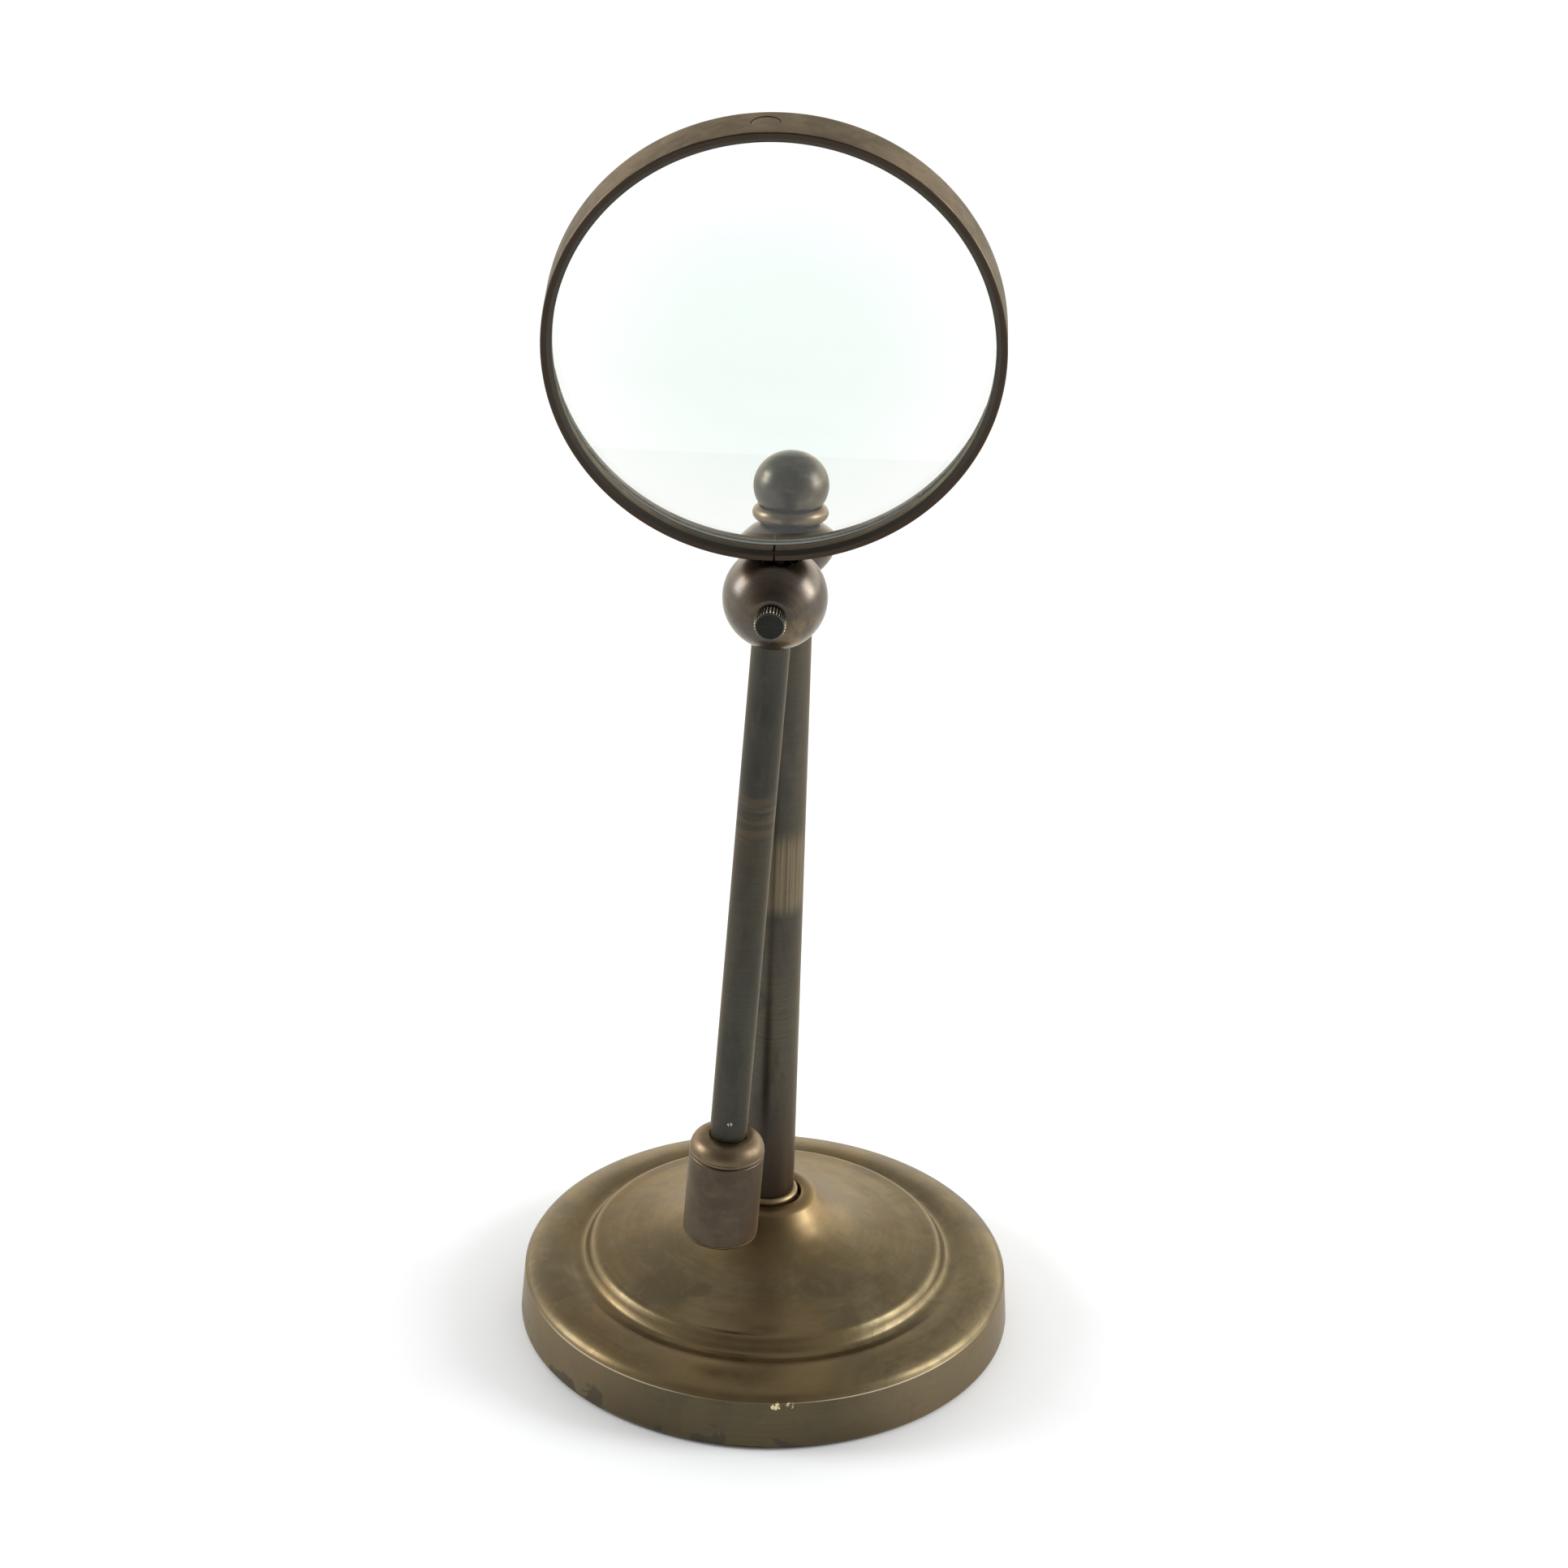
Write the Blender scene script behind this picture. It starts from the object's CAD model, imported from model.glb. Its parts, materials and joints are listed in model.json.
"""Looks for the desk magnifying glass: detailed turned pieces, aged brass, a real lens, studio light."""

import json
import math

import bmesh
import bpy
from mathutils import Matrix, Vector


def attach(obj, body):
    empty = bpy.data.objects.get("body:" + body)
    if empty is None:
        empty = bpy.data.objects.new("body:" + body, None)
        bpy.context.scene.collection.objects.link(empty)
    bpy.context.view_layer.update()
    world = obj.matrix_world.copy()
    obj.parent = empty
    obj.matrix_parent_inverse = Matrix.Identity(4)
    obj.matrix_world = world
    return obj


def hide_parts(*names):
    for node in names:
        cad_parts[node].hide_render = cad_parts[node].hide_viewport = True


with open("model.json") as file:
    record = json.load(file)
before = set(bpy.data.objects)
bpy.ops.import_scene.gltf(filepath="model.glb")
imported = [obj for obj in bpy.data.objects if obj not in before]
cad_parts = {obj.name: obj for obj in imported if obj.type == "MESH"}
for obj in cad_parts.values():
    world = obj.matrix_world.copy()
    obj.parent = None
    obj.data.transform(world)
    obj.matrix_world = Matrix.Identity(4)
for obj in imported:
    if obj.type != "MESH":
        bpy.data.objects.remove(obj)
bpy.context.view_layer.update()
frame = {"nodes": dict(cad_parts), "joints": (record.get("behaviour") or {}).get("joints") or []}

MM = 0.001
JOINTS = {j["name"]: j for j in frame["joints"]}
FRONT = Vector(JOINTS["arm_tilt"]["pos_m"])
REAR = Vector(JOINTS["head_swivel"]["pos_m"])
ROD_AXIS = Vector(JOINTS["rod_slide"]["axis"])
PITCH = (REAR - FRONT).length

# Sizes shared with the solids, in metres
BASE_R = 57.0 * MM
BALL_R = 11.3 * MM
POST_R = 6.1 * MM
POST_FOOT_R = 5.5 * MM
POST_BORE_R = 4.3 * MM
SPIGOT_R = 3.4 * MM
PIVOT_R = 2.6 * MM
ROD_R = 4.2 * MM
WEIGHT_R = 8.45 * MM
CAP_TOP = 135.4 * MM
CAP_JOINT = 140.0 * MM
WEIGHT_END = 161.5 * MM
FINIAL_R = 7.1 * MM
FINIAL_UP = 17.6 * MM
BEAD_UP = 11.9 * MM
RING_UP = 59.65 * MM
RING_R = 48.5 * MM
RING_IN_R = 47.2 * MM
RING_HALF = 5.7 * MM
LIP_IN = 46.1 * MM
LIP_SEAT = 2.6 * MM
LENS_R = 46.9 * MM
LENS_EDGE = 4.0 * MM
LENS_CURVE = 260.0 * MM
RING_LEAN = -0.0283
RING_TURN = 0.0469
PLUG_ANGLE = -0.035
PLUG_R = 3.05 * MM
HEAD_R = 3.4 * MM
HEAD_IN = 10.8 * MM
HEAD_OUT = 13.95 * MM
KNURLS = 30
KNURL_DEPTH = 0.30 * MM
BOSS_FLOOR = 31.2 * MM
POST_FOOT_END = 18.5 * MM
POST_SHOULDER = 35.0 * MM
COLLAR_R = 7.1 * MM
SLEEVE_R = 4.6 * MM
SLEEVE_START = 12.8 * MM
BALL_SPOT = 10.05 * MM
ROD_BORE_R = 2.9 * MM
PLUG_DROP = 0.10 * MM
LENS_BEVEL = 0.25 * MM
LENS_INDEX = 1.52
GAP = 0.3 * MM

# Finish and studio
GOLD = (0.36, 0.27, 0.14)
BRASS_TINT = (0.80, 0.72, 0.60)
RAMP_ENDS = ("From Min", "From Max", "To Min", "To Max")
FLOOR_SIZE = 20.0
FLOOR_GLOW = 0.58
GLOW_START = 1.8
SOFTBOX_OUT = 1.05
SOFTBOX_SIZE = (0.42, 0.55)

# Camera
CAMERA_AT = Vector((0.0731, -1.0830, 0.7316))
CAMERA_YAW = 0.0665
CAMERA_PITCH = -0.4985
CAMERA_ROLL = 0.0311
CAMERA_LENS = 126.86
CAMERA_SHIFT = 0.00095


# ---------------------------------------------------------------- outlines

def arc(cr, cz, radius, start, stop, count):
    """Points on a circle in the (r, z) half plane, in degrees from +r towards +z, with no fillets."""
    angles = [math.radians(start + (stop - start) * i / count) for i in range(count + 1)]
    return [(cr + radius * math.cos(a), cz + radius * math.sin(a), 0.0) for a in angles]


def flow(points, steps=8):
    """A smooth run through (r, z) points, as a Catmull-Rom curve."""
    pts = [Vector(p) for p in points]
    pts = [2.0 * pts[0] - pts[1]] + pts + [2.0 * pts[-1] - pts[-2]]
    out = []
    for a, b, c, d in zip(pts, pts[1:], pts[2:], pts[3:]):
        for i in range(steps):
            t = i / steps
            p = 2.0 * b + (c - a) * t + (2.0 * a - 5.0 * b + 4.0 * c - d) * t * t
            p += (3.0 * b - a - 3.0 * c + d) * t ** 3
            out.append((0.5 * p.x, 0.5 * p.y, 0.0))
    return out + [(pts[-2].x, pts[-2].y, 0.0)]


def rounded(points, closed, steps=5):
    """Round each corner by its fillet. A positive fillet is an outside edge and wears bright."""
    out = []
    count = len(points)
    for i, (r, z, fillet) in enumerate(points):
        end = not closed and i in (0, count - 1)
        if fillet == 0.0 or end:
            out.append((r, z, 0.0))
            continue
        here = Vector((r, z))
        before = Vector(points[i - 1][:2])
        after = Vector(points[(i + 1) % count][:2])
        size = min(abs(fillet), 0.45 * (before - here).length, 0.45 * (after - here).length)
        p = here + (before - here).normalized() * size
        q = here + (after - here).normalized() * size
        for k in range(steps + 1):
            t = k / steps
            point = p * (1 - t) ** 2 + here * 2 * t * (1 - t) + q * t * t
            wear = math.sin(math.pi * t) ** 0.5 if 0 < k < steps and fillet > 0.0 else 0.0
            out.append((point.x, point.y, wear))
    return out


def in_mm(points):
    """Metres, with no fillets, from (r, z) pairs in millimetres."""
    return [(r * MM, z * MM, 0.0) for r, z in points]


def sphere_r(radius, height):
    """Radius of the circle a sphere has at a height above its centre."""
    return math.sqrt(radius * radius - height * height)


# ---------------------------------------------------------------- mesh pieces

def settle(bm, name, matrix):
    """Give a bmesh smooth faces with crisp edges and link it as an object."""
    bmesh.ops.remove_doubles(bm, verts=bm.verts, dist=1e-7)
    bmesh.ops.recalc_face_normals(bm, faces=bm.faces)
    mesh = bpy.data.meshes.new(name)
    bm.to_mesh(mesh)
    bm.free()
    obj = bpy.data.objects.new(name, mesh)
    bpy.context.scene.collection.objects.link(obj)
    obj.matrix_world = matrix
    smooth(obj)
    return obj


def smooth(obj):
    """Shade smooth, except across hard corners."""
    for poly in obj.data.polygons:
        poly.use_smooth = True
    obj.data.set_sharp_from_angle(angle=math.radians(38))


def lathe(name, points, matrix=Matrix.Identity(4), segments=180, shape=None):
    """Turn a profile of (r, z, fillet) about local Z and store how far each edge is worn."""
    closed = points[0][0] > 0.0
    profile = rounded(points, closed)
    bm = bmesh.new()
    layer = bm.verts.layers.float.new("wear")
    verts = []
    for r, z, wear in profile:
        vert = bm.verts.new((max(r, 0.0), 0.0, z))
        vert[layer] = wear
        verts.append(vert)
    edges = [bm.edges.new(pair) for pair in zip(verts, verts[1:])]
    if closed:
        edges.append(bm.edges.new((verts[-1], verts[0])))
    bmesh.ops.spin(
        bm,
        geom=verts + edges,
        cent=(0.0, 0.0, 0.0),
        axis=(0.0, 0.0, 1.0),
        angle=2.0 * math.pi,
        steps=segments,
        use_merge=True,
    )
    if shape:
        for vert in bm.verts:
            vert.co = shape(vert.co)
    return settle(bm, name, matrix)


def carve(obj, cutter):
    """Cut with an exact Boolean for good and remove the cutter."""
    mod = obj.modifiers.new("carve", "BOOLEAN")
    mod.operation = "DIFFERENCE"
    mod.solver = "EXACT"
    mod.object = cutter
    graph = bpy.context.evaluated_depsgraph_get()
    mesh = bpy.data.meshes.new_from_object(obj.evaluated_get(graph))
    obj.modifiers.remove(mod)
    obj.data = mesh
    bpy.data.objects.remove(cutter)
    smooth(obj)


def piece(obj, material, body, slot, *nodes):
    """Dress a piece, make it ride on its body and let it stand for its CAD nodes."""
    obj.data.materials.clear()
    obj.data.materials.append(material)
    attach(obj, body)
    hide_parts(*nodes)
    return obj


def place(point, rotation):
    """World matrix from a point and a rotation."""
    return Matrix.Translation(point) @ rotation.to_4x4()


def frames():
    """World matrices, at rest, of each axis that pieces are turned about."""
    lean = Matrix.Rotation(math.atan2(ROD_AXIS.x, ROD_AXIS.z), 3, "Y")
    to_rear = Matrix.Rotation(-math.pi / 2, 3, "X")
    ring = Matrix.Rotation(RING_LEAN, 3, "Y") @ Matrix.Rotation(RING_TURN, 3, "Z")
    centre = FRONT + ring @ Vector((0.0, 0.0, RING_UP))
    return {
        "rear": Matrix.Translation(REAR),
        "rod": place(FRONT, lean),
        "pivot": place(FRONT, to_rear),
        "screw": place(FRONT, Matrix.Rotation(math.pi / 2, 3, "X")),
        "rear_pivot": place(REAR, Matrix.Rotation(math.pi / 2, 3, "X")),
        "stud": place(centre, ring),
        "plug": place(centre, ring @ Matrix.Rotation(PLUG_ANGLE, 3, "Y")),
        "ring": place(centre, Matrix.Rotation(RING_TURN, 3, "Z") @ to_rear),
    }


# ---------------------------------------------------------------- material building

class Shade:
    """One procedural material and short calls for the nodes it is made of."""

    def __init__(self, name):
        self.mat = bpy.data.materials.new(name)
        self.mat.use_nodes = True
        self.tree = self.mat.node_tree
        self.shader = self.tree.nodes["Principled BSDF"]
        self.place = self.tree.nodes.new("ShaderNodeTexCoord").outputs["Object"]

    def feed(self, socket, value):
        """Set a socket to a number or colour, or link it."""
        if isinstance(value, bpy.types.NodeSocket):
            self.tree.links.new(value, socket)
        elif isinstance(value, tuple) and len(value) == 3 and socket.type == "RGBA":
            socket.default_value = (*value, 1.0)
        else:
            socket.default_value = value

    def calc(self, operation, a, b=0.0):
        """A Math node."""
        node = self.tree.nodes.new("ShaderNodeMath")
        node.operation = operation
        for socket, value in zip(node.inputs, (a, b)):
            self.feed(socket, value)
        return node.outputs[0]

    def times(self, a, b):
        """A product."""
        return self.calc("MULTIPLY", a, b)

    def plus(self, a, b):
        """A sum."""
        return self.calc("ADD", a, b)

    def span(self, x, y):
        """Distance from the axis a piece is turned about."""
        return self.calc("SQRT", self.plus(self.times(x, x), self.times(y, y)))

    def stretch(self, scale, shift=(0.0, 0.0, 0.0)):
        """Object coordinates scaled and shifted."""
        node = self.tree.nodes.new("ShaderNodeMapping")
        node.inputs["Scale"].default_value = scale
        node.inputs["Location"].default_value = shift
        self.feed(node.inputs["Vector"], self.place)
        return node.outputs[0]

    def noise(self, scale, detail=4.0, rough=0.55, vector=None, distort=0.0):
        """Fractal noise from 0 to 1."""
        node = self.tree.nodes.new("ShaderNodeTexNoise")
        node.inputs["Scale"].default_value = scale
        node.inputs["Detail"].default_value = detail
        node.inputs["Roughness"].default_value = rough
        node.inputs["Distortion"].default_value = distort
        self.feed(node.inputs["Vector"], vector or self.place)
        return node.outputs["Fac"]

    def cells(self, scale, vector):
        """Voronoi distance."""
        node = self.tree.nodes.new("ShaderNodeTexVoronoi")
        node.inputs["Scale"].default_value = scale
        self.feed(node.inputs["Vector"], vector)
        return node.outputs["Distance"]

    def remap(self, value, low, high, to_low=0.0, to_high=1.0):
        """Smoothly map a range of one value to another."""
        node = self.tree.nodes.new("ShaderNodeMapRange")
        node.interpolation_type = "SMOOTHSTEP"
        node.clamp = True
        self.feed(node.inputs["Value"], value)
        for name, number in zip(RAMP_ENDS, (low, high, to_low, to_high)):
            self.feed(node.inputs[name], number)
        return node.outputs["Result"]

    def mix(self, amount, a, b):
        """Blend two colours."""
        node = self.tree.nodes.new("ShaderNodeMix")
        node.data_type = "RGBA"
        self.feed(node.inputs["Factor"], amount)
        self.feed(node.inputs["A"], a)
        self.feed(node.inputs["B"], b)
        return node.outputs["Result"]

    def axes(self):
        """Separate object coordinates."""
        node = self.tree.nodes.new("ShaderNodeSeparateXYZ")
        self.feed(node.inputs[0], self.place)
        return node.outputs

    def wear(self):
        """How far an edge is worn, from the mesh."""
        node = self.tree.nodes.new("ShaderNodeAttribute")
        node.attribute_name = "wear"
        return node.outputs["Fac"]

    def bump(self, height, depth, below=None):
        """A bump of a real depth in metres, on top of another."""
        node = self.tree.nodes.new("ShaderNodeBump")
        node.inputs["Strength"].default_value = 1.0
        node.inputs["Distance"].default_value = depth
        self.feed(node.inputs["Height"], height)
        if below:
            self.feed(node.inputs["Normal"], below)
        return node.outputs["Normal"]

    def set(self, **values):
        """Set or link Principled sockets, with _ for a space."""
        for name, value in values.items():
            self.feed(self.shader.inputs[name.replace("_", " ")], value)
        return self.mat


def patina(name, dark, light, warm, rough, seed, streak=1.0, worn=0.0, marks=None, film=0.2):
    """Oil-rubbed brass: blotches, warm places, rubbed bright edges, fine tool marks, an oxide film."""
    s = Shade(name)
    spot = s.stretch((1.0, 1.0, streak), (seed, seed * 0.7, seed * 0.3))
    cloud = s.noise(24.0, 3.0, 0.5, spot, 0.8)
    blotch = s.noise(70.0, 4.0, 0.6, spot, 0.5)
    mottle = s.noise(230.0, 5.0, 0.65, spot, 0.6)
    grit = s.noise(1500.0, 3.0, 0.6)
    colour = s.mix(s.remap(blotch, 0.36, 0.64), dark, light)
    colour = s.mix(s.remap(cloud, 0.46, 0.70, 0.0, 0.70), colour, warm)
    colour = s.mix(s.remap(mottle, 0.32, 0.50, 0.60, 0.0), colour, dark)
    colour = s.mix(s.remap(mottle, 0.50, 0.68, 0.0, 0.60), colour, light)
    colour = s.mix(s.remap(grit, 0.35, 0.75, 0.0, 0.15), colour, dark)
    lines = s.noise(1.0, 2.0, 0.7, s.stretch((60.0, 60.0, 2600.0)))
    colour = s.mix(s.remap(lines, 0.40, 0.62, 0.0, 0.28), colour, dark)
    patchy = s.remap(s.noise(160.0, 4.0, 0.6, spot), 0.36, 0.66, 0.03, 0.40)
    rub = s.times(s.wear(), patchy)
    rub = s.plus(rub, worn)
    colour = s.mix(rub, colour, GOLD)
    speck = s.remap(s.cells(330.0, spot), 0.0, 0.07, 0.45, 0.0)
    speck = s.times(speck, s.remap(s.noise(120.0, 2.0, 0.5, spot), 0.60, 0.66))
    colour = s.mix(speck, colour, (0.50, 0.46, 0.36))
    uneven = s.plus(s.times(blotch, 0.5), s.times(mottle, 0.5))
    roughness = s.remap(uneven, 0.32, 0.68, rough + 0.09, rough - 0.07)
    if marks:
        colour = marks(s, colour)
    normal = s.bump(lines, 0.004 * MM)
    normal = s.bump(grit, 0.003 * MM, normal)
    normal = s.bump(s.noise(420.0, 4.0, 0.6), 0.014 * MM, normal)
    coat = s.remap(uneven, 0.36, 0.64, 1.4 * film, 0.6 * film)
    s.set(Base_Color=colour, Roughness=roughness, Metallic=0.97, Specular_Tint=BRASS_TINT, Normal=normal)
    return s.set(Coat_Weight=coat, Coat_Roughness=rough - 0.04)


def near(s, point, radius):
    """1 near a point on the piece, fading to 0 at the radius."""
    node = s.tree.nodes.new("ShaderNodeVectorMath")
    node.operation = "DISTANCE"
    s.feed(node.inputs[0], s.place)
    node.inputs[1].default_value = point
    return s.remap(node.outputs["Value"], 0.35 * radius, radius, 1.0, 0.0)


def near_both(s, first, second, first_radius, second_radius):
    """The sum of two near fields, given in millimetres."""
    one = near(s, tuple(v * MM for v in first), first_radius * MM)
    return s.plus(one, near(s, tuple(v * MM for v in second), second_radius * MM))


def base_marks(s, colour):
    """A darker front, lighter sides, a warm lip and boss, low stains, a rubbed rim and two chips."""
    z = s.axes()[2]
    front = near(s, (0.0, -57.0 * MM, 5.0 * MM), 52.0 * MM)
    skirt = s.remap(z, 12.0 * MM, 12.6 * MM, 1.0, 0.0)
    colour = s.mix(s.times(s.times(front, skirt), 0.60), colour, (0.050, 0.044, 0.026))
    sides = s.times(s.calc("SUBTRACT", 1.0, front), skirt)
    colour = s.mix(s.times(sides, 0.50), colour, (0.225, 0.172, 0.105))
    lip = near(s, (0.0, -51.0 * MM, 15.2 * MM), 30.0 * MM)
    lip = s.times(lip, s.calc("SUBTRACT", 1.0, skirt))
    colour = s.mix(s.times(lip, 0.60), colour, (0.205, 0.140, 0.062))
    boss = s.remap(z, 21.0 * MM, 29.0 * MM, 0.0, 0.60)
    patchy = s.remap(s.noise(60.0, 3.0, 0.5), 0.35, 0.60, 0.4, 1.0)
    colour = s.mix(s.times(boss, patchy), colour, (0.165, 0.098, 0.032))
    low = s.remap(z, 0.0, 8.0 * MM, 1.0, 0.0)
    where = near_both(s, (-14.0, -55.3, 1.0), (-39.0, -41.5, 1.5), 14.0, 14.0)
    edge = s.plus(s.noise(75.0, 4.0, 0.55, None, 0.5), s.times(low, 0.10))
    edge = s.plus(edge, s.times(where, 0.12))
    stain = s.times(s.remap(edge, 0.685, 0.700), s.remap(low, 0.05, 0.35))
    rim = near_both(s, (-34.0, -46.0, 12.4), (34.0, -46.0, 12.4), 30.0, 30.0)
    rim = s.times(s.times(rim, s.wear()), s.remap(z, 10.5 * MM, 11.5 * MM, 0.0, 0.60))
    colour = s.mix(rim, colour, (0.62, 0.55, 0.41))
    colour = s.mix(s.times(stain, 0.65), colour, (0.040, 0.038, 0.028))
    chip = near_both(s, (7.2, -55.9, 11.5), (10.4, -55.3, 11.7), 1.7, 1.5)
    rag = s.times(s.remap(s.noise(1200.0, 3.0, 0.6), 0.38, 0.62), 0.6)
    chip = s.remap(s.plus(s.times(chip, 0.8), rag), 0.95, 1.03)
    colour = s.mix(chip, colour, (0.66, 0.55, 0.34))
    return colour


def post_marks(s, colour):
    """A brown foot, and a rubbed band halfway up with fine lengthwise scratches."""
    z = s.axes()[2]
    band = s.times(s.remap(z, 109.0 * MM, 114.0 * MM), s.remap(z, 126.0 * MM, 133.0 * MM, 1.0, 0.0))
    foot = s.remap(z, 34.0 * MM, 75.0 * MM, 0.65, 0.0)
    colour = s.mix(foot, colour, (0.072, 0.046, 0.030))
    lines = s.noise(1.0, 3.0, 0.6, s.stretch((1500.0, 1500.0, 14.0)))
    scratch = s.remap(lines, 0.42, 0.62)
    colour = s.mix(s.times(band, 0.55), colour, (0.125, 0.096, 0.058))
    colour = s.mix(s.times(s.times(band, scratch), 0.5), colour, (0.22, 0.17, 0.095))
    return colour


def rod_marks(s, colour):
    """Faint brown rings halfway down the rod, and a pale nick above the counterweight."""
    z = s.axes()[2]
    zone = s.remap(z, -62.0 * MM, -56.0 * MM)
    zone = s.times(zone, s.remap(z, -49.0 * MM, -44.0 * MM, 1.0, 0.0))
    rings = s.noise(1.0, 3.0, 0.6, s.stretch((70.0, 70.0, 520.0)))
    amount = s.times(zone, s.remap(rings, 0.40, 0.66, 0.0, 0.55))
    colour = s.mix(amount, colour, (0.092, 0.064, 0.038))
    rag = s.noise(1.0, 3.0, 0.6, s.stretch((2400.0, 2400.0, 700.0)))
    rag = s.times(s.remap(rag, 0.38, 0.62), 0.6)
    nick = s.times(near(s, (0.3 * MM, -4.2 * MM, -130.4 * MM), 0.95 * MM), 0.7)
    nick = s.remap(s.plus(nick, rag), 1.00, 1.12, 0.0, 0.7)
    return s.mix(nick, colour, (0.58, 0.55, 0.45))


def ring_marks(s, colour):
    """Both faces and the inside of the ring are blacker than its band."""
    x, y, z = s.axes()
    face = s.remap(s.calc("ABSOLUTE", z), RING_HALF - 0.30 * MM, RING_HALF - 0.10 * MM)
    radius = s.span(x, y)
    inner = s.remap(radius, RING_R - 1.45 * MM, RING_R - 1.30 * MM, 1.0, 0.0)
    colour = s.mix(s.times(face, 0.80), colour, (0.042, 0.031, 0.023))
    return s.mix(s.times(inner, 0.80), colour, (0.054, 0.050, 0.042))


def ball_marks(s, colour):
    """A rubbed golden place low on the right of the ball."""
    place = near(s, (6.6 * MM, 5.0 * MM, -7.6 * MM), 7.5 * MM)
    amount = s.times(place, s.remap(s.noise(190.0, 4.0, 0.6), 0.38, 0.60, 0.10, 0.70))
    return s.mix(amount, colour, (0.200, 0.135, 0.060))


def knurl_marks(s, colour):
    """Knurls rubbed pale on their crests, and a dark flat face."""
    x, y, z = s.axes()
    radius = s.span(x, y)
    crest = s.remap(radius, HEAD_R - 0.20 * MM, HEAD_R - 0.07 * MM)
    colour = s.mix(s.times(crest, 0.90), colour, (0.62, 0.57, 0.46))
    face = s.remap(z, HEAD_OUT - 0.30 * MM, HEAD_OUT - 0.16 * MM)
    face = s.times(face, s.remap(radius, 2.75 * MM, 3.0 * MM, 1.0, 0.0))
    scratch = s.noise(1.0, 2.0, 0.6, s.stretch((420.0, 3600.0, 420.0)))
    scratch = s.remap(scratch, 0.62, 0.70, 0.0, 0.35)
    tone = s.mix(scratch, (0.012, 0.0125, 0.011), (0.050, 0.048, 0.042))
    return s.mix(face, colour, tone)


def plain(name, low, high, metallic, rough, scale):
    """Machined steel, cast iron or bronze for pieces that are mostly hidden."""
    s = Shade(name)
    tone = s.noise(scale, 5.0, 0.6)
    colour = s.mix(s.remap(tone, 0.3, 0.7), low, high)
    normal = s.bump(tone, 0.03 * MM)
    roughness = s.remap(tone, 0.3, 0.7, rough - 0.06, rough + 0.08)
    return s.set(Base_Color=colour, Roughness=roughness, Metallic=metallic, Normal=normal)


def baize(name):
    """Short green baize with a fibrous nap."""
    s = Shade(name)
    nap = s.noise(2200.0, 6.0, 0.7, None, 1.2)
    colour = s.mix(s.remap(nap, 0.3, 0.7), (0.010, 0.030, 0.018), (0.030, 0.075, 0.045))
    return s.set(Base_Color=colour, Roughness=0.95, Sheen_Weight=0.5, Normal=s.bump(nap, 0.12 * MM))


def optical_glass(name):
    """Clear crown glass with a faint green cast, a trace of dust and a ground edge."""
    s = Shade(name)
    x, y, z = s.axes()
    radius = s.span(x, y)
    ground = s.remap(radius, LENS_R - 0.24 * MM, LENS_R - 0.20 * MM)
    rim = s.remap(radius, 20.0 * MM, 46.0 * MM, 0.2, 1.0)
    dust = s.times(rim, s.remap(s.noise(900.0, 3.0, 0.5), 0.68, 0.74, 0.0, 0.05))
    middle = near(s, (0.0, 0.0, 0.0), 46.0 * MM)
    tint = s.times(middle, s.remap(s.noise(18.0, 2.0, 0.5), 0.2, 0.8, 0.85, 1.0))
    clear = s.mix(tint, (0.975, 0.990, 0.972), (0.850, 0.945, 0.898))
    return s.set(
        Base_Color=s.mix(ground, clear, (0.66, 0.67, 0.62)),
        Roughness=s.plus(dust, s.times(ground, 0.6)),
        IOR=LENS_INDEX,
        Transmission_Weight=s.calc("SUBTRACT", 1.0, ground),
    )


# ---------------------------------------------------------------- the stand

def make_base(mats):
    """Spun shell with a crisp skirt edge, an ogee shoulder, a stepped cone and a recessed boss."""
    roll = [(56.0, 12.65), (55.6, 13.3), (54.8, 14.05), (53.5, 14.8), (51.8, 15.45), (49.8, 15.95)]
    roll += [(47.8, 16.2), (46.0, 16.15), (44.6, 15.95), (43.4, 15.95), (42.4, 16.4), (41.7, 17.3)]
    roll += [(41.15, 18.4), (40.5, 19.25), (39.6, 19.75), (38.2, 20.0), (36.2, 20.35), (33.0, 21.1)]
    roll += [(26.5, 22.8), (21.0, 25.0), (16.8, 27.5), (13.8, 30.1), (12.0, 32.2), (11.3, 33.05)]
    roll += [(10.5, 33.6), (9.6, 33.9), (8.7, 33.95), (7.95, 33.7), (7.6, 33.2)]
    wall = [(BASE_R - 0.4 * MM, 0.5 * MM, 0.0), (BASE_R, 1.1 * MM, 0.4 * MM)]
    wall += [(56.2 * MM, 12.3 * MM, 0.6 * MM)]
    points = wall + flow([(r * MM, z * MM) for r, z in roll])
    points += [(7.5 * MM, BOSS_FLOOR, -0.2 * MM), (POST_FOOT_R + GAP, BOSS_FLOOR, 0.0)]
    points += [(POST_FOOT_R + GAP, 29.0 * MM, 0.0), (11.6 * MM, 29.0 * MM, 0.0), (14.8 * MM, 26.2 * MM, 0.0)]
    inside = [(19.6, 23.4), (25.6, 21.0), (32.0, 19.3), (38.2, 18.0)]
    inside += [(41.6, 15.6), (47.4, 14.4), (51.6, 12.7)]
    points += in_mm(inside)
    points += [(54.6 * MM, 10.8 * MM, 0.0), (55.3 * MM, 0.5 * MM, 0.0)]
    shell = lathe("base_shell_detail", points, segments=256)
    piece(shell, mats["base"], "stand", "antique_brass", "base_shell")
    felt = [(0.0, 0.0, 0.0), (54.0 * MM, 0.0, 0.3 * MM)]
    felt += [(54.0 * MM, 1.2 * MM, 0.3 * MM), (0.0, 1.2 * MM, 0.0)]
    piece(lathe("base_felt_detail", felt, segments=128), mats["baize"], "stand", "baize", "base_felt")


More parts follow.
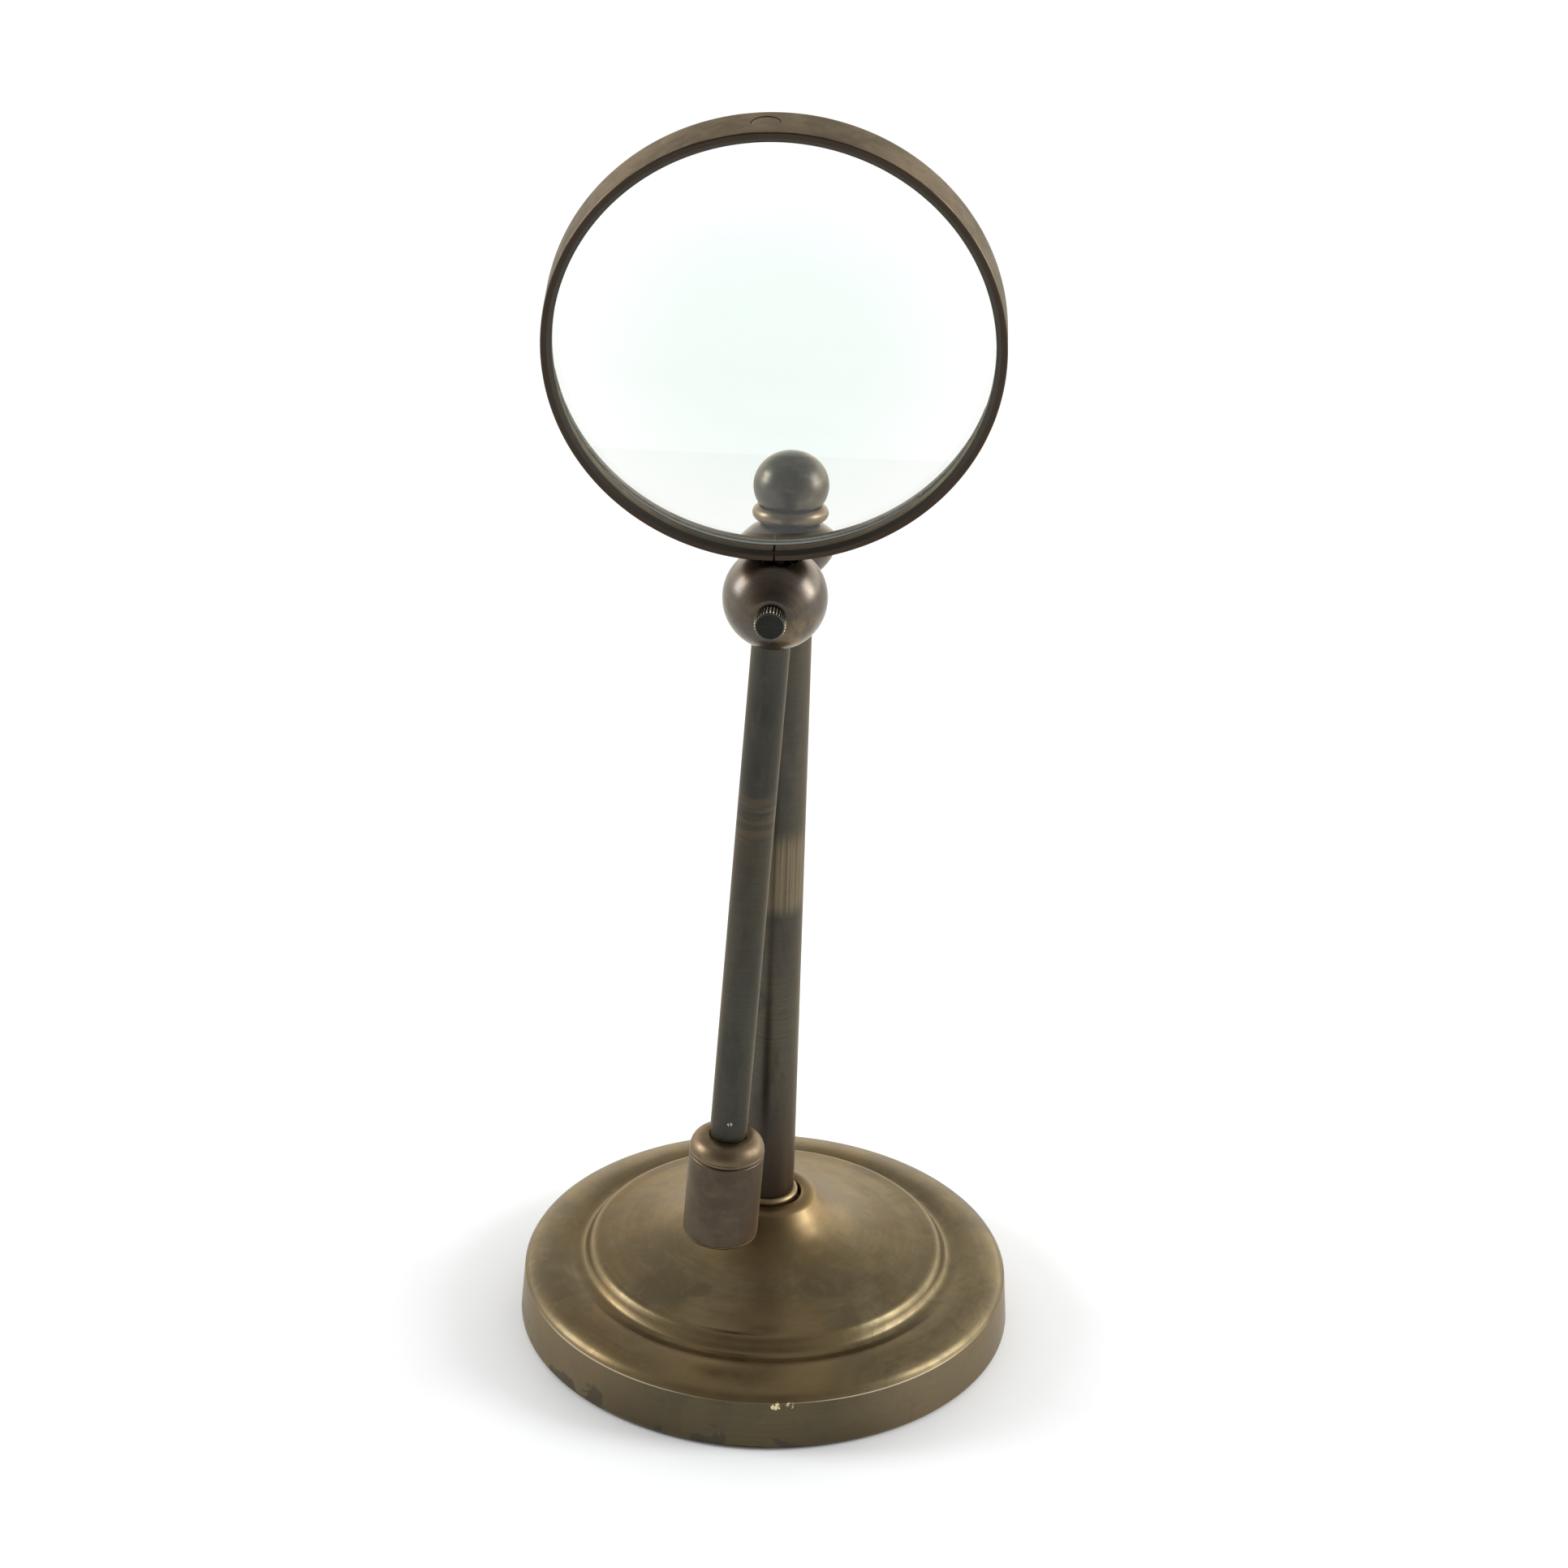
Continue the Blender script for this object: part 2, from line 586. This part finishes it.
def make_post(mats):
    """Tall tube with a turned foot, and the rounded bead it stands on."""
    top = REAR.z - sphere_r(BALL_R, POST_R) - GAP
    dish = REAR.z - sphere_r(BALL_R, POST_BORE_R) - GAP
    points = [(POST_BORE_R, POST_FOOT_END, 0.0), (POST_FOOT_R, POST_FOOT_END, 0.0)]
    points += [(POST_FOOT_R, POST_SHOULDER, 0.0), (POST_R, POST_SHOULDER, 0.3 * MM)]
    points += [(POST_R, POST_SHOULDER + (top - POST_SHOULDER) * i / 12, 0.0) for i in range(1, 12)]
    points += [(POST_R, top, 0.2 * MM), (POST_BORE_R, dish, 0.0)]
    piece(lathe("post_tube_detail", points), mats["post"], "stand", "antique_brass", "post_tube")
    inner = POST_FOOT_R + GAP
    round_r = 1.1 * MM
    bead = [(inner, 31.5 * MM, 0.0), (COLLAR_R, 31.5 * MM, 0.0)]
    bead += arc(COLLAR_R - round_r, 33.8 * MM, round_r, 0.0, 120.0, 16)
    bead += [(inner - 0.15 * MM, 34.0 * MM, 0.0)]
    piece(lathe("post_collar_detail", bead), mats["collar"], "stand", "worn_brass", "post_collar")


def make_rear_ball(mats, at):
    """Ball with flats top and bottom and a spot face for the sleeve."""
    bore = SPIGOT_R + GAP
    low = -math.degrees(math.asin(10.0 * MM / BALL_R))
    high = math.degrees(math.asin(9.9 * MM / BALL_R))
    points = [(bore, -10.0 * MM, 0.0)] + arc(0.0, 0.0, BALL_R, low, high, 72) + [(bore, 9.9 * MM, 0.0)]
    ball = lathe("rear_ball_detail", points, at["rear"])
    drill = PIVOT_R + GAP
    step = [(0.0, 6.0), (drill / MM, 6.0), (drill / MM, 10.05), (6.0, 10.05), (6.0, 13.0), (0.0, 13.0)]
    carve(ball, lathe("cutter", in_mm(step), at["rear_pivot"], segments=96))
    piece(ball, mats["rear_ball"], "swivel_head", "antique_brass", "rear_ball")


def make_pivot(mats, at):
    """Spacer sleeve, spring washer and the bush in the front ball."""
    hole = PIVOT_R + GAP
    end = PITCH - BALL_SPOT - GAP
    groove = 0.5 * (SLEEVE_START + end)
    sleeve = [(hole, SLEEVE_START, 0.0), (SLEEVE_R, SLEEVE_START, 0.3 * MM)]
    sleeve += [(SLEEVE_R, groove - 0.5 * MM, 0.1 * MM), (4.25 * MM, groove, -0.3 * MM)]
    sleeve += [(SLEEVE_R, groove + 0.5 * MM, 0.1 * MM), (SLEEVE_R, end, 0.3 * MM), (hole, end, 0.0)]
    sleeve = lathe("pivot_sleeve_detail", sleeve, at["pivot"], segments=120)
    piece(sleeve, mats["sleeve"], "swivel_head", "antique_brass", "pivot_sleeve")
    spring = [(hole, 11.7, 0), (5.2, 12.1, 0.1), (5.2, 12.5, 0.1), (hole, 12.1, 0)]
    spring = [(r if r == hole else r * MM, z * MM, f * MM) for r, z, f in spring]
    spring = lathe("pivot_spring_detail", spring, at["pivot"], segments=120)
    piece(spring, mats["steel"], "swivel_head", "plain_steel", "pivot_spring")
    bush = [(hole, 8.5 * MM, 0.0), (4.7 * MM, 8.5 * MM, 0.3 * MM)]
    bush += [(4.7 * MM, 11.4 * MM, 0.3 * MM), (hole, 11.4 * MM, 0.0)]
    bush = lathe("pivot_bush_detail", bush, at["pivot"], segments=120)
    piece(bush, mats["bronze"], "tilt_head", "bronze", "pivot_bush")


def make_finial(mats, at):
    """Rounded bead washer and the ball-shaped cap nut above it."""
    bore = SPIGOT_R + GAP
    half = 1.7 * MM
    edge = 7.15 * MM - half
    bead = [(bore, BEAD_UP - half, 0.0)] + arc(edge, BEAD_UP, half, -90.0, 90.0, 24)
    bead += [(bore, BEAD_UP + half, 0.0)]
    bead = lathe("finial_bead_detail", bead, at["rear"], segments=144)
    piece(bead, mats["bead"], "finial_washer", "worn_brass", "finial_bead")
    foot = 13.9 * MM
    start = -math.degrees(math.asin((FINIAL_UP - foot) / FINIAL_R))
    inner = FINIAL_UP + 1.2 * MM
    cap = [(0.0, inner, 0.0), (bore, inner, 0.0), (bore, foot, 0.0)]
    cap += arc(0.0, FINIAL_UP, FINIAL_R, start, 90.0, 56)[:-1]
    cap += [(0.0, FINIAL_UP + FINIAL_R, 0.0)]
    cap = lathe("finial_ball_detail", cap, at["rear"], segments=144)
    piece(cap, mats["finial"], "finial_nut", "antique_brass", "finial_ball")


# ---------------------------------------------------------------- the tilting head

def make_front_ball(mats, at):
    """Ball with a screw hole in front, a pivot cavity behind and a bore for the rod."""
    cavity = 5.0 * MM
    spot = 10.5 * MM
    hole = 2.25 * MM
    start = -math.degrees(math.asin(spot / BALL_R))
    stop = math.degrees(math.asin(sphere_r(BALL_R, cavity) / BALL_R))
    points = [(0.0, -3.0 * MM, 0.0), (hole, -3.0 * MM, 0.0), (hole, -spot, 0.0)]
    points += arc(0.0, 0.0, BALL_R, start, stop, 72) + [(cavity, 6.6 * MM, 0.0), (0.0, 6.6 * MM, 0.0)]
    ball = lathe("front_ball_detail", points, at["pivot"])
    bore = [(0.0, -13.0), (5.2, -13.0), (5.2, 13.0), (0.0, 13.0)]
    carve(ball, lathe("cutter", in_mm(bore), at["rod"], segments=120))
    piece(ball, mats["front_ball"], "tilt_head", "antique_brass", "front_ball")
    bush = [(4.45, -9.6, 0.0), (5.12, -9.6, 0.1), (5.12, 9.6, 0.1), (4.45, 9.6, 0.0)]
    bush = lathe("rod_bush_detail", [(r * MM, z * MM, f * MM) for r, z, f in bush], at["rod"], segments=120)
    piece(bush, mats["bush"], "rod_sleeve", "bronze", "rod_bush")


def knurl(co):
    """Cut straight V-shaped knurls into the rim of the thumb screw."""
    radius = math.hypot(co.x, co.y)
    if radius < 0.93 * HEAD_R:
        return co
    turn = (math.atan2(co.y, co.x) * KNURLS / (2.0 * math.pi)) % 1.0
    depth = KNURL_DEPTH * abs(2.0 * turn - 1.0) ** 0.8
    return Vector((co.x * (1.0 - depth / radius), co.y * (1.0 - depth / radius), co.z))


def make_screw(mats, at):
    """Knurled thumb screw with a dished face."""
    middle = 0.5 * (HEAD_IN + HEAD_OUT)
    points = [(0.0, 7.0 * MM, 0.0), (1.95 * MM, 7.0 * MM, 0.2 * MM), (1.95 * MM, HEAD_IN, 0.0)]
    points += [(3.05 * MM, HEAD_IN, 0.0), (HEAD_R, HEAD_IN + 0.4 * MM, 0.0), (HEAD_R, middle, 0.0)]
    points += [(HEAD_R, HEAD_OUT - 0.35 * MM, 0.1 * MM), (3.05 * MM, HEAD_OUT, 0.1 * MM)]
    points += [(2.6 * MM, HEAD_OUT - 0.12 * MM, 0.1 * MM), (0.0, HEAD_OUT - 0.12 * MM, 0.0)]
    screw = lathe("thumb_screw_detail", points, at["screw"], segments=KNURLS * 12, shape=knurl)
    piece(screw, mats["screw"], "thumb_screw", "antique_brass", "thumb_screw")


# ---------------------------------------------------------------- the sliding arm

def make_rod(mats, at):
    """Hollow rod, its counterweight with a round-shouldered cap, and the screw in the end."""
    end = -WEIGHT_END + 4.5 * MM
    top = 8.0 * MM
    points = [(ROD_BORE_R, end, 0.0), (ROD_R, end, 0.2 * MM)]
    points += [(ROD_R, end + (top - end) * i / 12, 0.0) for i in range(1, 12)]
    points += [(ROD_R, top, 0.2 * MM), (ROD_BORE_R, top, 0.0)]
    piece(lathe("rod_tube_detail", points, at["rod"]), mats["rod"], "lens_arm", "antique_brass", "rod_tube")
    hole = ROD_R + 0.08 * MM
    joint = -CAP_JOINT
    round_r = 3.6 * MM
    shoulder = arc(WEIGHT_R - 0.08 * MM - round_r, -CAP_TOP - round_r, round_r, 2.0, 90.0, 24)
    cap = [(hole, joint, 0.0), (WEIGHT_R - 0.22 * MM, joint, -0.1 * MM)]
    cap += [(WEIGHT_R, joint + 0.3 * MM, -0.15 * MM), (WEIGHT_R, joint + 0.75 * MM, -0.1 * MM)]
    cap += [(WEIGHT_R - 0.12 * MM, joint + 0.95 * MM, -0.1 * MM)] + shoulder + [(hole, -CAP_TOP, 0.12 * MM)]
    cap = lathe("counterweight_cap_detail", cap, at["rod"])
    piece(cap, mats["cap"], "lens_arm", "worn_brass", "counterweight_cap")
    rim = -WEIGHT_END
    body = [(hole, rim + 4.2 * MM, 0.0), (2.05 * MM, rim + 4.2 * MM, 0.0), (2.05 * MM, rim + 2.0 * MM, 0.0)]
    body += [(3.9 * MM, rim + 2.0 * MM, 0.0), (3.9 * MM, rim, 0.15 * MM)]
    body += [(WEIGHT_R - 0.45 * MM, rim, 0.15 * MM), (WEIGHT_R - 0.08 * MM, rim + 0.55 * MM, 0.2 * MM)]
    body += [(WEIGHT_R - 0.2 * MM, rim + 0.8 * MM, -0.1 * MM)]
    body += [(WEIGHT_R, rim + 1.1 * MM, 0.15 * MM), (WEIGHT_R, joint - 0.35 * MM, -0.15 * MM)]
    body += [(WEIGHT_R - 0.22 * MM, joint - 0.06 * MM, -0.1 * MM), (hole, joint - 0.06 * MM, 0.0)]
    body = lathe("counterweight_body_detail", body, at["rod"])
    piece(body, mats["weight"], "lens_arm", "antique_brass", "counterweight_body")
    make_end_screw(mats, at, rim)


def make_end_screw(mats, at, rim):
    """Slotted cheese-head screw under the counterweight."""
    seat = rim + 1.7 * MM
    points = [(0.0, rim + 0.2 * MM, 0.0), (3.6 * MM, rim + 0.2 * MM, 0.25 * MM), (3.6 * MM, seat, 0.0)]
    points += [(1.75 * MM, seat, 0.0), (1.75 * MM, seat + 11.0 * MM, 0.2 * MM), (0.0, seat + 11.0 * MM, 0.0)]
    screw = lathe("weight_screw_detail", points, at["rod"], segments=96)
    slot = box_cutter((9.0 * MM, 0.7 * MM, 1.2 * MM), (0.0, 0.0, rim + 0.2 * MM), at["rod"])
    carve(screw, slot)
    piece(screw, mats["steel"], "lens_arm", "plain_steel", "weight_screw")


def box_cutter(size, centre, matrix):
    """A plain block used only to cut with."""
    bm = bmesh.new()
    bmesh.ops.create_cube(bm, size=1.0)
    bmesh.ops.scale(bm, vec=size, verts=bm.verts)
    bmesh.ops.translate(bm, vec=centre, verts=bm.verts)
    return settle(bm, "cutter", matrix)


def make_ring(mats, at):
    """Split channel ring with a chamfered lip on each face, its plug and its stud."""
    side = [(RING_R, RING_HALF - 0.25 * MM, 0.2 * MM), (RING_R - 0.25 * MM, RING_HALF, -0.12 * MM)]
    side += [(RING_R - 1.35 * MM, RING_HALF, -0.12 * MM), (LIP_IN, RING_HALF - 0.5 * MM, -0.15 * MM)]
    side += [(LIP_IN, LIP_SEAT, -0.1 * MM), (RING_IN_R, LIP_SEAT, 0.0)]
    points = side + [(r, -z, f) for r, z, f in reversed(side)]
    ring = lathe("lens_ring_detail", points, at["ring"], segments=360)
    ledge = -RING_IN_R - 0.7 * MM
    step = [(0.0, -50.0 * MM, 0.0), (2.3 * MM, -50.0 * MM, 0.0), (2.3 * MM, ledge, 0.0)]
    step += [(3.5 * MM, ledge, 0.0), (3.5 * MM, -46.75 * MM, 0.0), (0.0, -46.75 * MM, 0.0)]
    carve(ring, lathe("cutter", step, at["stud"], segments=96))
    drill = PLUG_R + 0.05 * MM
    hole = [(0.0, 44.0 * MM, 0.0), (drill, 44.0 * MM, 0.0), (drill, 50.0 * MM, 0.0), (0.0, 50.0 * MM, 0.0)]
    carve(ring, lathe("cutter", hole, at["plug"], segments=96))
    carve(ring, box_cutter((0.42 * MM, 14.0 * MM, 6.0 * MM), (0.0, 0.0, -RING_IN_R), at["stud"]))
    piece(ring, mats["ring"], "lens_arm", "antique_brass", "lens_ring")
    make_plug(mats, at)
    make_ring_stud(mats, at)


def make_plug(mats, at):
    """Flush plug, its top curved to follow the ring."""
    def curve(co):
        drop = RING_R - math.sqrt(RING_R ** 2 - co.x ** 2) if co.z > RING_IN_R + 0.8 * MM else 0.0
        return Vector((co.x, co.y, co.z - drop))

    top = RING_R - PLUG_DROP
    foot = RING_IN_R + 0.4 * MM
    points = [(0.0, foot, 0.0), (PLUG_R, foot, 0.0), (PLUG_R, top, 0.12 * MM)]
    points += [(PLUG_R * 0.75, top, 0.0), (PLUG_R * 0.5, top, 0.0), (PLUG_R * 0.25, top, 0.0), (0.0, top, 0.0)]
    plug = lathe("ring_plug_detail", points, at["plug"], segments=96, shape=curve)
    piece(plug, mats["plug"], "lens_arm", "antique_brass", "ring_plug")


def make_ring_stud(mats, at):
    """Stud between the ring and the rod."""
    ledge = -RING_IN_R - 0.45 * MM
    foot = -RING_UP + 3.7 * MM
    points = [(0.0, foot, 0.0), (2.0 * MM, foot, 0.3 * MM), (2.0 * MM, ledge, 0.0), (3.2 * MM, ledge, 0.0)]
    points += [(3.2 * MM, -RING_IN_R - 0.1 * MM, 0.1 * MM), (0.0, -RING_IN_R - 0.1 * MM, 0.0)]
    stud = lathe("ring_stud_detail", points, at["stud"], segments=96)
    piece(stud, mats["sleeve"], "lens_arm", "antique_brass", "ring_stud")


def make_lens(mats, at):
    """Biconvex lens with a bevelled edge, and the pale and black liners that seat it."""
    half = 0.5 * LENS_EDGE
    sag = LENS_CURVE - sphere_r(LENS_CURVE, LENS_R - LENS_BEVEL)
    spread = math.degrees(math.asin((LENS_R - LENS_BEVEL) / LENS_CURVE))
    rear = arc(0.0, half + sag - LENS_CURVE, LENS_CURVE, 90.0 - spread, 90.0, 80)[:-1]
    front = [(r, -z, f) for r, z, f in reversed(rear)]
    points = [(0.0, -half - sag, 0.0)] + front
    points += [(LENS_R, -half + LENS_BEVEL, 0.0), (LENS_R, half - LENS_BEVEL, 0.0)]
    points += rear + [(0.0, half + sag, 0.0)]
    lens = lathe("lens_detail", points, at["ring"], segments=256)
    piece(lens, mats["glass"], "lens_arm", "lens_glass", "lens")
    for end, sign, finish in (("rear", 1.0, "felt_liner"), ("front", -1.0, "liner")):
        low, high = sorted((sign * (half + 0.15 * MM), sign * (LIP_SEAT - 0.05 * MM)))
        ring = [(LIP_IN + 0.05 * MM, low, 0.08 * MM), (LENS_R - 0.1 * MM, low, 0.0)]
        ring += [(LENS_R - 0.1 * MM, high, 0.0), (LIP_IN + 0.05 * MM, high, 0.08 * MM)]
        liner = lathe("lens_liner_%s_detail" % end, ring, at["ring"], segments=256)
        piece(liner, mats[finish], "lens_arm", "black_liner", "lens_liner_" + end)


# ---------------------------------------------------------------- materials, hidden nodes, studio

def make_materials():
    """Every finish, each with its own tones and its own pattern."""
    brown = (0.085, 0.058, 0.038)
    return {
        "base": patina(
            "patina_base", (0.080, 0.058, 0.024), (0.150, 0.116, 0.060), (0.152, 0.092, 0.032),
            0.35, 0.3, marks=base_marks, film=0.3,
        ),
        "post": patina(
            "patina_post", (0.034, 0.034, 0.028), (0.072, 0.068, 0.053), (0.084, 0.064, 0.041),
            0.38, 1.1, streak=0.35, marks=post_marks,
        ),
        "rod": patina(
            "patina_rod", (0.028, 0.027, 0.021), (0.056, 0.053, 0.041), (0.068, 0.050, 0.031),
            0.40, 2.3, streak=0.35, marks=rod_marks,
        ),
        "rear_ball": patina(
            "patina_rear_ball", (0.055, 0.048, 0.037), (0.120, 0.108, 0.085), brown,
            0.34, 3.7, film=0.4,
        ),
        "front_ball": patina(
            "patina_front_ball", (0.022, 0.018, 0.014), (0.072, 0.060, 0.045), (0.088, 0.055, 0.027),
            0.29, 4.1, marks=ball_marks, film=0.65,
        ),
        "finial": patina(
            "patina_finial", (0.016, 0.013, 0.009), (0.132, 0.112, 0.074), (0.185, 0.094, 0.045),
            0.34, 5.9, film=0.4,
        ),
        "bead": patina(
            "patina_bead", (0.085, 0.064, 0.040), (0.150, 0.118, 0.070), (0.130, 0.082, 0.046),
            0.34, 6.2, worn=0.05,
        ),
        "collar": patina(
            "patina_collar", (0.135, 0.097, 0.047), (0.235, 0.175, 0.090), (0.200, 0.122, 0.056),
            0.42, 7.7, worn=0.05,
        ),
        "cap": patina(
            "patina_cap", (0.095, 0.066, 0.036), (0.165, 0.122, 0.074), (0.165, 0.102, 0.052),
            0.40, 8.4,
        ),
        "weight": patina(
            "patina_weight", (0.058, 0.041, 0.027), (0.096, 0.074, 0.049), (0.100, 0.064, 0.037),
            0.42, 9.6,
        ),
        "ring": patina(
            "patina_ring", (0.036, 0.028, 0.020), (0.070, 0.054, 0.040), (0.074, 0.048, 0.030),
            0.40, 10.8, marks=ring_marks, film=0.06,
        ),
        "plug": patina(
            "patina_plug", (0.064, 0.052, 0.039), (0.098, 0.080, 0.062), (0.090, 0.066, 0.046),
            0.42, 11.5, film=0.06,
        ),
        "screw": patina(
            "patina_screw", (0.030, 0.030, 0.026), (0.062, 0.060, 0.050), (0.050, 0.044, 0.034),
            0.38, 12.9, marks=knurl_marks,
        ),
        "sleeve": patina(
            "patina_sleeve", (0.062, 0.055, 0.044), (0.105, 0.088, 0.052), brown,
            0.38, 13.4,
        ),
        "bush": patina(
            "patina_bush", (0.040, 0.032, 0.024), (0.085, 0.070, 0.050), brown,
            0.42, 14.2,
        ),
        "steel": plain("plain_steel", (0.36, 0.36, 0.35), (0.58, 0.58, 0.56), 1.0, 0.38, 600.0),
        "bronze": plain("bearing_bronze", (0.24, 0.16, 0.085), (0.38, 0.26, 0.14), 1.0, 0.36, 500.0),
        "iron": plain("cast_iron_grain", (0.030, 0.030, 0.031), (0.075, 0.073, 0.070), 0.7, 0.66, 900.0),
        "liner": plain("black_liner", (0.006, 0.006, 0.006), (0.014, 0.014, 0.013), 0.0, 0.70, 700.0),
        "felt_liner": plain("pale_liner", (0.40, 0.41, 0.37), (0.56, 0.57, 0.52), 0.0, 0.75, 700.0),
        "baize": baize("green_baize"),
        "glass": optical_glass("crown_glass"),
    }


def dress_hidden(mats):
    """Give the CAD nodes that stay their own finish."""
    finishes = {
        "base_weight": "iron",
        "base_washer": "steel",
        "base_nut": "steel",
        "post_foot": "steel",
        "post_spindle": "steel",
        "pivot_stud": "steel",
        "rod_end_plug": "steel",
        "clamp_pad": "bronze",
    }
    for node, finish in finishes.items():
        obj = frame["nodes"][node]
        obj.data.materials.clear()
        obj.data.materials.append(mats[finish])


def make_floor():
    """Plain white table, with a very slight tooth."""
    bm = bmesh.new()
    bmesh.ops.create_grid(bm, x_segments=40, y_segments=40, size=FLOOR_SIZE)
    floor = settle(bm, "floor", Matrix.Translation((0.0, 0.0, -0.05 * MM)))
    s = Shade("white_table")
    tooth = s.noise(40.0, 3.0, 0.5)
    colour = s.mix(tooth, (0.90, 0.90, 0.895), (0.93, 0.93, 0.925))
    glow = s.calc("SUBTRACT", 1.0, near(s, (0.0, 0.0, 0.0), GLOW_START))
    glow = s.times(glow, FLOOR_GLOW)
    floor.data.materials.append(s.set(
        Base_Color=colour,
        Roughness=0.7,
        Specular_IOR_Level=0.2,
        Emission_Color=(1.0, 1.0, 0.99),
        Emission_Strength=glow,
    ))


def world_ramp(tree, value, low, high, to_low, to_high):
    """A clamped ramp over one direction of the room."""
    ramp = tree.nodes.new("ShaderNodeMapRange")
    tree.links.new(value, ramp.inputs["Value"])
    for name, number in zip(RAMP_ENDS, (low, high, to_low, to_high)):
        ramp.inputs[name].default_value = number
    return ramp.outputs["Result"]


def make_world():
    """White room that falls off towards the viewer's side."""
    world = bpy.data.worlds.new("studio")
    bpy.context.scene.world = world
    world.use_nodes = True
    tree = world.node_tree
    back = tree.nodes["Background"]
    coords = tree.nodes.new("ShaderNodeTexCoord")
    split = tree.nodes.new("ShaderNodeSeparateXYZ")
    tree.links.new(coords.outputs["Generated"], split.inputs[0])
    depth = world_ramp(tree, split.outputs["Y"], -0.9, 0.3, 0.16, 1.07)
    side = world_ramp(tree, split.outputs["X"], 0.15, 0.9, 1.0, 1.65)
    left = world_ramp(tree, split.outputs["X"], -0.9, -0.15, 1.05, 1.0)
    height = world_ramp(tree, split.outputs["Z"], 0.15, 0.65, 2.0, 0.70)
    for factor in (side, left, height):
        times = tree.nodes.new("ShaderNodeMath")
        times.operation = "MULTIPLY"
        tree.links.new(depth, times.inputs[0])
        tree.links.new(factor, times.inputs[1])
        depth = times.outputs[0]
    tree.links.new(depth, back.inputs["Strength"])
    back.inputs["Color"].default_value = (1.0, 0.995, 0.985, 1.0)


def softbox(name, at, size, power, aim):
    """A rectangular soft light aimed at a point."""
    data = bpy.data.lights.new(name, "AREA")
    data.shape = "RECTANGLE"
    data.size, data.size_y = size
    data.energy = power
    data.color = (0.94, 0.97, 1.0)
    lamp = bpy.data.objects.new(name, data)
    bpy.context.scene.collection.objects.link(lamp)
    lamp.location = at
    lamp.rotation_euler = (Vector(aim) - Vector(at)).to_track_quat("-Z", "Y").to_euler()


def make_lights():
    """A softbox on each side."""
    aim = (0.0, 0.0, 0.14)
    for name, out, power in (("left", -SOFTBOX_OUT, 7.5), ("right", SOFTBOX_OUT, 7.7)):
        softbox("softbox_" + name, (out, 0.02, 0.55), SOFTBOX_SIZE, power, aim)


def make_camera():
    """Camera at the photographed angle."""
    ahead = Vector((
        -math.sin(CAMERA_YAW) * math.cos(CAMERA_PITCH),
        math.cos(CAMERA_YAW) * math.cos(CAMERA_PITCH),
        math.sin(CAMERA_PITCH),
    ))
    right = Vector((math.cos(CAMERA_YAW), math.sin(CAMERA_YAW), 0.0))
    up = right.cross(ahead)
    side = right * math.cos(CAMERA_ROLL) + up * math.sin(CAMERA_ROLL)
    top = up * math.cos(CAMERA_ROLL) - right * math.sin(CAMERA_ROLL)
    data = bpy.data.cameras.new("camera")
    data.sensor_width = 36.0
    data.lens = CAMERA_LENS
    data.shift_y = CAMERA_SHIFT
    data.clip_start = 0.01
    camera = bpy.data.objects.new("camera", data)
    bpy.context.scene.collection.objects.link(camera)
    turn = Matrix((side, top, -ahead)).transposed()
    camera.matrix_world = place(CAMERA_AT, turn)
    bpy.context.scene.camera = camera


def main():
    """Build every piece, dress it and light it."""
    at = frames()
    mats = make_materials()
    make_base(mats)
    make_post(mats)
    make_rear_ball(mats, at)
    make_pivot(mats, at)
    make_finial(mats, at)
    make_front_ball(mats, at)
    make_screw(mats, at)
    make_rod(mats, at)
    make_ring(mats, at)
    make_lens(mats, at)
    dress_hidden(mats)
    make_floor()
    make_world()
    make_lights()
    make_camera()
    bpy.context.scene.view_settings.view_transform = "Standard"


main()
